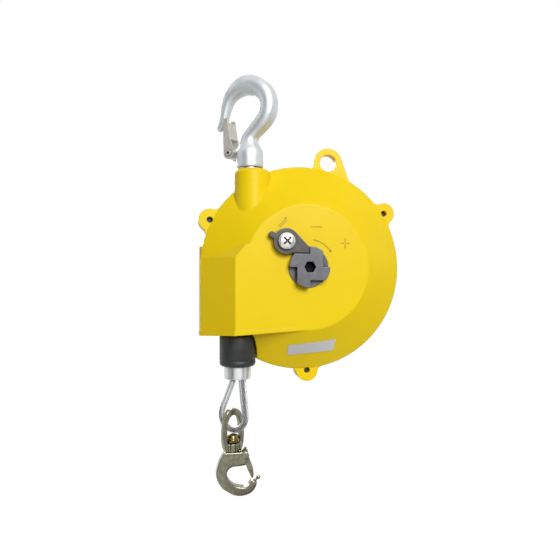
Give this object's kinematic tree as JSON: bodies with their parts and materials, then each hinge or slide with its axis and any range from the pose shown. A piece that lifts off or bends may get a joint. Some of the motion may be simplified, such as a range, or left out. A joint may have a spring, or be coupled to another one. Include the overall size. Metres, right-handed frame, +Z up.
{
  "type": "tool balancer",
  "caption": "Hanging spring balancer: round cast casing with rope box, swivelling top hook with latch, ratchet adjuster, wire rope with bumper, and a swivelling snap hook.",
  "frame": {"origin": "on the top hook's swivel axis, at the height of the saddle that the balancer hangs from", "axes": "+Z up along the swivel axis, -Y out of the casing's front face, +X to the right seen from the front"},
  "size_m": [0.2017, 0.0811, 0.4086],
  "materials": {
    "casing_yellow": "gloss",
    "zinc_steel": "satin",
    "spring_steel": "satin",
    "bronze": "satin",
    "black_nylon": "matte",
    "hook_steel": "satin",
    "latch_steel": "satin",
    "wheel_steel": "satin",
    "dark_steel": "satin",
    "bare_aluminium": "satin",
    "wire_rope": "satin",
    "black_rubber": "matte",
    "nickel_plate": "gloss"
  },
  "bodies": {
    "housing": {"front_casing": "casing_yellow", "rear_casing": "casing_yellow", "casing_screw_1": "dark_steel", "casing_screw_2": "dark_steel", "casing_screw_3": "dark_steel", "front_bush": "bronze", "rear_bush": "bronze", "rope_guide": "black_nylon", "pawl_screw": "zinc_steel", "pawl_spring": "spring_steel", "neck_washer": "zinc_steel"},
    "top_hook": {"top_hook": "hook_steel", "hook_nut": "zinc_steel", "latch_rivet": "zinc_steel", "latch_spring": "spring_steel"},
    "top_latch": {"top_latch": "latch_steel"},
    "adjuster": {"main_shaft": "spring_steel", "ratchet_wheel": "wheel_steel", "retaining_ring": "spring_steel"},
    "pawl": {"pawl": "dark_steel"},
    "drum": {"drum": "bare_aluminium", "spring_case_cover": "bare_aluminium", "front_bearing": "zinc_steel", "rear_bearing": "zinc_steel", "power_spring": "spring_steel", "rope_wraps": "wire_rope"},
    "load": {"rope_stretch": "wire_rope", "rubber_bumper": "black_rubber", "ferrule": "bare_aluminium", "rope_loop": "wire_rope", "thimble": "zinc_steel"},
    "swivel_eye": {"swivel_eye": "nickel_plate"},
    "snap_hook": {"snap_hook_body": "nickel_plate", "swivel_rivet": "nickel_plate", "gate_rivet": "nickel_plate"},
    "gate": {"gate": "nickel_plate"}
  },
  "joints": [
    {"name": "hook_swivel", "type": "hinge", "parent": "housing", "child": "top_hook", "pos_m": [0, 0, 0], "axis": [0, 0, 1], "continuous": true},
    {"name": "latch_hinge", "type": "hinge", "parent": "top_hook", "child": "top_latch", "pos_m": [-0.01552, 0.01213, -0.0551], "axis": [0.6157, 0.788, 0], "range_deg": [0, 30], "stiffness_Nm_per_rad": 0.02, "springref_deg": -40.11},
    {"name": "drum_spin", "type": "hinge", "parent": "housing", "child": "drum", "pos_m": [0.052, 0, -0.1679], "axis": [0, -1, 0], "range_deg": [0, 1110], "stiffness_Nm_per_rad": 0.025, "springref_deg": -3437.75},
    {"name": "load_slide", "type": "slide", "parent": "housing", "child": "load", "axis": [0, 0, -1], "range_m": [0, 1.3], "deforming": ["rope_stretch"]},
    {"name": "adjuster_turn", "type": "hinge", "parent": "housing", "child": "adjuster", "pos_m": [0.052, 0, -0.1679], "axis": [0, 1, 0], "range_deg": [0, 20], "stiffness_Nm_per_rad": 0.004, "springref_deg": -28.65},
    {"name": "pawl_lift", "type": "hinge", "parent": "housing", "child": "pawl", "pos_m": [0.0298, 0, -0.1439], "axis": [0, -1, 0], "range_deg": [0, 21.1]},
    {"name": "eye_swing", "type": "hinge", "parent": "load", "child": "swivel_eye", "pos_m": [-0.0168, 0, -0.32609], "axis": [0.454, -0.891, 0], "range_deg": [-45, 45]},
    {"name": "snap_swivel", "type": "hinge", "parent": "swivel_eye", "child": "snap_hook", "pos_m": [-0.0168, 0, -0.3465], "axis": [0, 0, 1], "continuous": true},
    {"name": "gate_hinge", "type": "hinge", "parent": "snap_hook", "child": "gate", "pos_m": [-0.0047, 0, -0.34989], "axis": [0, 1, 0], "range_deg": [0, 35], "stiffness_Nm_per_rad": 0.01, "springref_deg": -34.38}
  ],
  "couplings": [
    {"joint": "load_slide", "follows": "drum_spin", "m_per_rad": 0.067},
    {"joint": "pawl_lift", "follows": "adjuster_turn", "ratio": 1.05}
  ]
}
